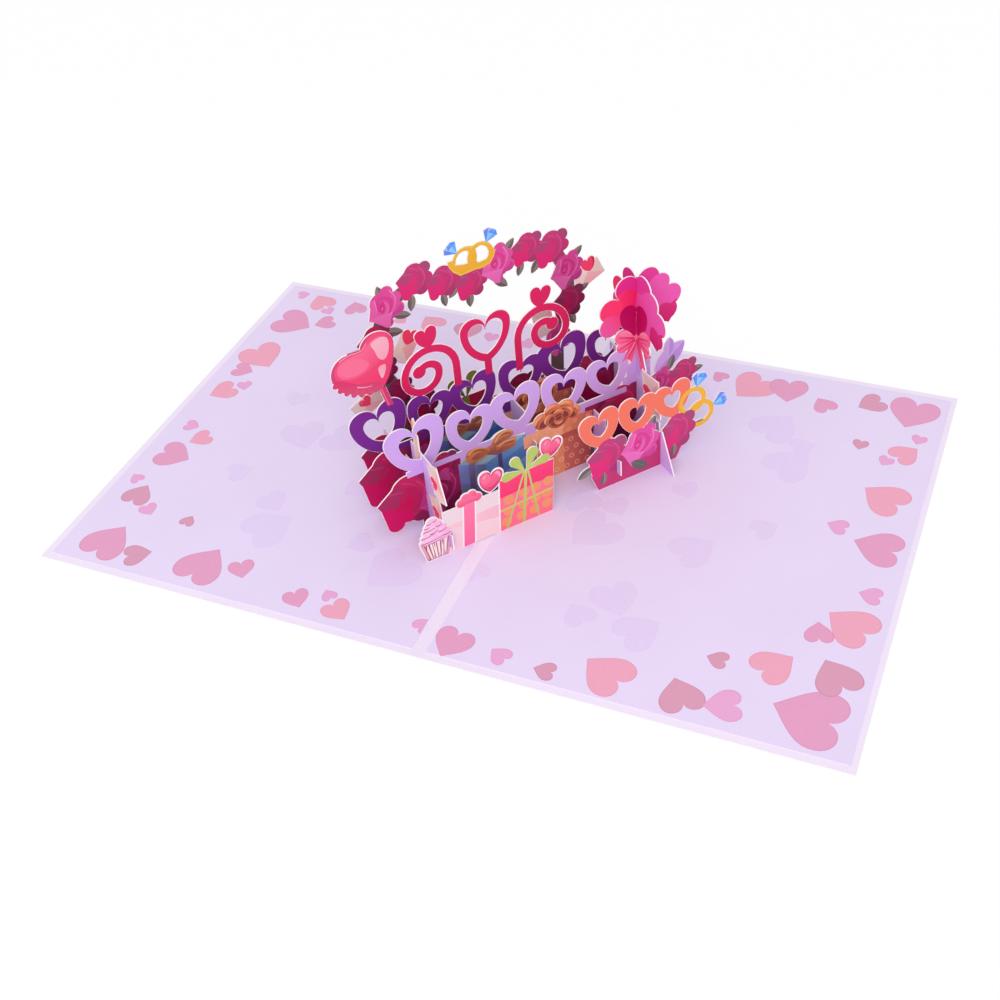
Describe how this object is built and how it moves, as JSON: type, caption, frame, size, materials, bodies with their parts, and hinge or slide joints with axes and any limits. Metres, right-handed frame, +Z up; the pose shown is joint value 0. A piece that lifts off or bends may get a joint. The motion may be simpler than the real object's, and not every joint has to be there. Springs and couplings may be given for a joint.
{
  "type": "pop up card",
  "caption": "Open greeting card with interlocking printed card slices standing on its fold: a rose arch, gifts, hearts, heart balloons and rings.",
  "frame": {"origin": "centre of the open card's underside", "axes": "+X across the two pages to the right, +Y along the fold away from the reader, +Z up out of the pages"},
  "size_m": [0.311, 0.2, 0.097],
  "materials": {
    "cover": "matte printed card",
    "liner_left": "matte printed card",
    "liner_right": "matte printed card",
    "arch_row": "matte printed card",
    "scroll_row": "matte printed card",
    "heart_row": "matte printed card",
    "gift_row": "matte printed card",
    "rose_row": "matte printed card",
    "cross_left": "matte printed card",
    "cross_middle": "matte printed card",
    "cross_inner": "matte printed card",
    "cross_right": "matte printed card"
  },
  "bodies": {
    "root": {"cover": "cover", "liner_left": "liner_left", "liner_right": "liner_right", "arch_row": "arch_row", "scroll_row": "scroll_row", "heart_row": "heart_row", "gift_row": "gift_row", "rose_row": "rose_row", "cross_left": "cross_left", "cross_middle": "cross_middle", "cross_inner": "cross_inner", "cross_right": "cross_right"}
  },
  "joints": []
}
